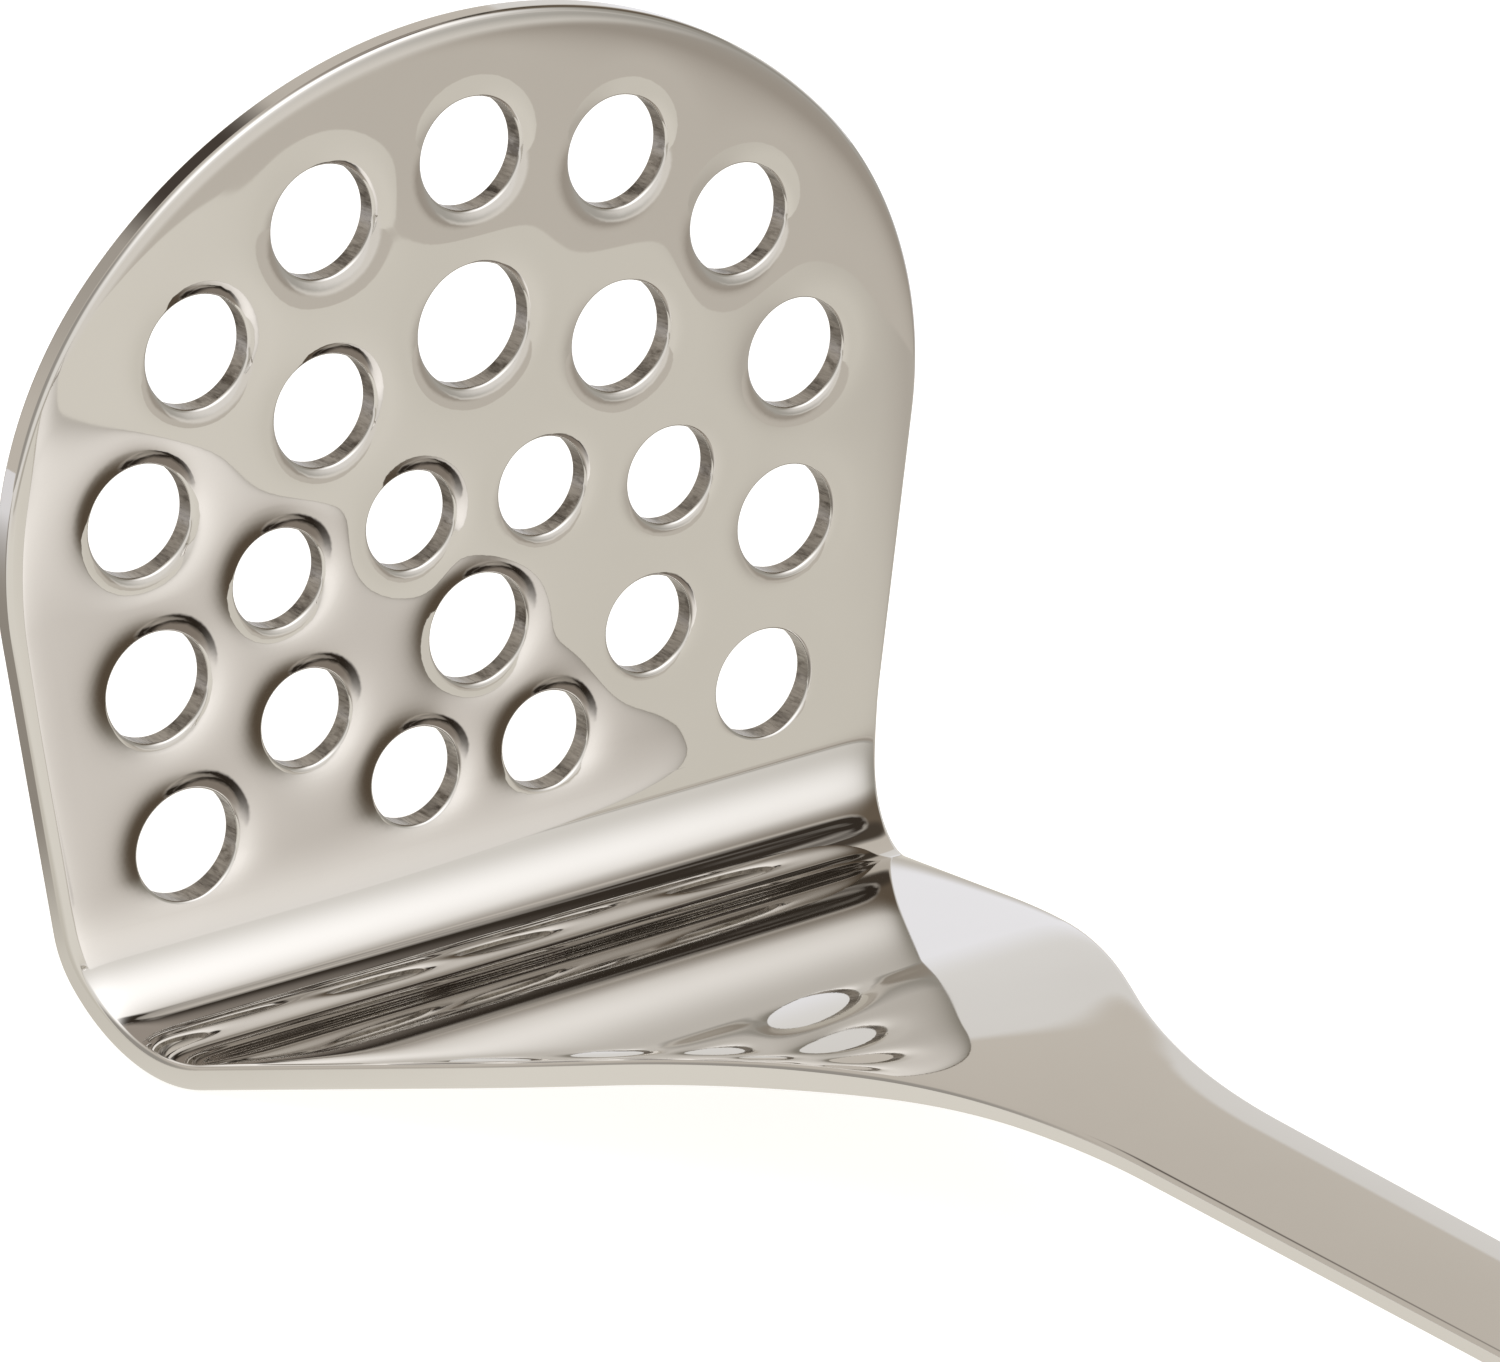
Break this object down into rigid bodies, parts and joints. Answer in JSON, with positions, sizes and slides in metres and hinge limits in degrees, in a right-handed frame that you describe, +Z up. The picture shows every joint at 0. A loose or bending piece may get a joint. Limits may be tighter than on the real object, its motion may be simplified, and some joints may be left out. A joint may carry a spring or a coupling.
{
  "type": "potato masher",
  "caption": "Potato masher: a round-topped punched steel plate bent over into a tapering neck, a flat shank and a hollow oval grip with a hanging hole.",
  "frame": {"origin": "centre of the masher's box on the surface it lies on, with the bend and the underside of the grip touching that surface", "axes": "+X from the plate along the handle, +Z up from the surface, +Y across the plate"},
  "size_m": [0.2762, 0.0924, 0.0846],
  "materials": {
    "polished_steel": "mirror-polished stainless steel, fine wipe marks",
    "satin_steel": "satin stainless steel, brushed along the grip"
  },
  "bodies": {
    "root": {"masher_head": "polished_steel", "grip_collar": "polished_steel", "grip_shell_upper": "satin_steel", "grip_shell_lower": "satin_steel", "hanging_eyelet": "polished_steel"}
  },
  "joints": []
}
